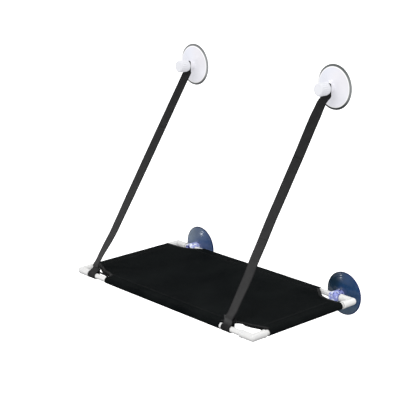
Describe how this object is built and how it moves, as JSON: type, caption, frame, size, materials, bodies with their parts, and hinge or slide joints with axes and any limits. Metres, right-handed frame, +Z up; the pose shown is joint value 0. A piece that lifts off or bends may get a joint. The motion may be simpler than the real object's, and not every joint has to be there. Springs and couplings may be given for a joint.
{
  "type": "window mounted cat perch",
  "caption": "Fabric sling on a plastic tube frame, held to a window by suction cups at its rear rail and by straps from cups above.",
  "frame": {"origin": "on the glass, at the middle of the frame's width and level with the rear rail's axis", "axes": "+X runs along the window to the right as seen from the room, +Y points at the glass, +Z is up"},
  "size_m": [0.6064, 0.3365, 0.561],
  "materials": {
    "frame_plastic": "gloss",
    "clamp_plastic": "gloss",
    "sling_cloth": "matte",
    "webbing": "matte",
    "blue_vinyl": "gloss",
    "pearl_vinyl": "gloss"
  },
  "bodies": {
    "mounting": {"lower_left_cup": "blue_vinyl", "lower_right_cup": "blue_vinyl", "upper_left_cup": "pearl_vinyl", "upper_right_cup": "pearl_vinyl", "left_stud": "clamp_plastic", "right_stud": "clamp_plastic", "left_strap_tab": "webbing", "right_strap_tab": "webbing"},
    "platform": {"front_rail": "frame_plastic", "rear_rail": "frame_plastic", "left_side_rail": "frame_plastic", "right_side_rail": "frame_plastic", "front_left_elbow": "frame_plastic", "front_right_elbow": "frame_plastic", "rear_left_elbow": "frame_plastic", "rear_right_elbow": "frame_plastic", "sling": "sling_cloth"},
    "left_washer": {"left_washer": "clamp_plastic"},
    "left_knob": {"left_knob": "clamp_plastic"},
    "left_strap_upper": {"left_strap_upper": "webbing"},
    "left_strap_fold": {"left_strap_fold": "webbing"},
    "left_strap_lower": {"left_strap_lower": "webbing"},
    "left_rail_loop": {"left_rail_loop": "webbing"},
    "right_washer": {"right_washer": "clamp_plastic"},
    "right_knob": {"right_knob": "clamp_plastic"},
    "right_strap_upper": {"right_strap_upper": "webbing"},
    "right_strap_fold": {"right_strap_fold": "webbing"},
    "right_strap_lower": {"right_strap_lower": "webbing"},
    "right_rail_loop": {"right_rail_loop": "webbing"}
  },
  "joints": [
    {"name": "platform_fold", "type": "hinge", "parent": "mounting", "child": "platform", "pos_m": [0, -0.0263, 0], "axis": [-1, 0, 0], "range_deg": [0, 80], "deforming": ["left_strap_upper", "left_strap_fold", "left_strap_lower", "right_strap_upper", "right_strap_fold", "right_strap_lower"]},
    {"name": "left_strap_top_bend", "type": "hinge", "parent": "mounting", "child": "left_strap_upper", "pos_m": [-0.247, -0.02495, 0.445], "axis": [-1, 0, 0], "range_deg": [-36, 0]},
    {"name": "left_strap_fold_bend", "type": "hinge", "parent": "left_strap_upper", "child": "left_strap_fold", "pos_m": [-0.247, -0.21212, 0.17044], "axis": [-1, 0, 0], "range_deg": [0, 97.3]},
    {"name": "left_strap_low_bend", "type": "hinge", "parent": "left_strap_fold", "child": "left_strap_lower", "pos_m": [-0.247, -0.21888, 0.16052], "axis": [-1, 0, 0], "range_deg": [0, 74.5]},
    {"name": "left_rail_loop_turn", "type": "hinge", "parent": "platform", "child": "left_rail_loop", "pos_m": [-0.247, -0.3283, 0], "axis": [-1, 0, 0], "range_deg": [0, 18.3]},
    {"name": "left_washer_release", "type": "slide", "parent": "mounting", "child": "left_washer", "axis": [0, -1, 0], "range_m": [0, 0.0071]},
    {"name": "left_knob_turn", "type": "hinge", "parent": "left_washer", "child": "left_knob", "pos_m": [-0.247, -0.0286, 0.461], "axis": [0, -1, 0], "range_deg": [0, 1440]},
    {"name": "right_strap_top_bend", "type": "hinge", "parent": "mounting", "child": "right_strap_upper", "pos_m": [0.21, -0.02495, 0.445], "axis": [-1, 0, 0], "range_deg": [-36, 0]},
    {"name": "right_strap_fold_bend", "type": "hinge", "parent": "right_strap_upper", "child": "right_strap_fold", "pos_m": [0.21, -0.21212, 0.17044], "axis": [-1, 0, 0], "range_deg": [0, 97.3]},
    {"name": "right_strap_low_bend", "type": "hinge", "parent": "right_strap_fold", "child": "right_strap_lower", "pos_m": [0.21, -0.21888, 0.16052], "axis": [-1, 0, 0], "range_deg": [0, 74.5]},
    {"name": "right_rail_loop_turn", "type": "hinge", "parent": "platform", "child": "right_rail_loop", "pos_m": [0.21, -0.3283, 0], "axis": [-1, 0, 0], "range_deg": [0, 18.3]},
    {"name": "right_washer_release", "type": "slide", "parent": "mounting", "child": "right_washer", "axis": [0, -1, 0], "range_m": [0, 0.0071]},
    {"name": "right_knob_turn", "type": "hinge", "parent": "right_washer", "child": "right_knob", "pos_m": [0.21, -0.0286, 0.461], "axis": [0, -1, 0], "range_deg": [0, 1440]}
  ],
  "couplings": [
    {"joint": "left_strap_top_bend", "follows": "platform_fold", "ratio": -0.44365},
    {"joint": "left_strap_fold_bend", "follows": "platform_fold", "ratio": 1.209},
    {"joint": "left_strap_low_bend", "follows": "platform_fold", "ratio": 0.92484},
    {"joint": "left_rail_loop_turn", "follows": "platform_fold", "ratio": 0.22148},
    {"joint": "left_washer_release", "follows": "left_knob_turn", "m_per_rad": 0.00027852},
    {"joint": "right_strap_top_bend", "follows": "platform_fold", "ratio": -0.44365},
    {"joint": "right_strap_fold_bend", "follows": "platform_fold", "ratio": 1.209},
    {"joint": "right_strap_low_bend", "follows": "platform_fold", "ratio": 0.92484},
    {"joint": "right_rail_loop_turn", "follows": "platform_fold", "ratio": 0.22148},
    {"joint": "right_washer_release", "follows": "right_knob_turn", "m_per_rad": 0.00027852}
  ]
}
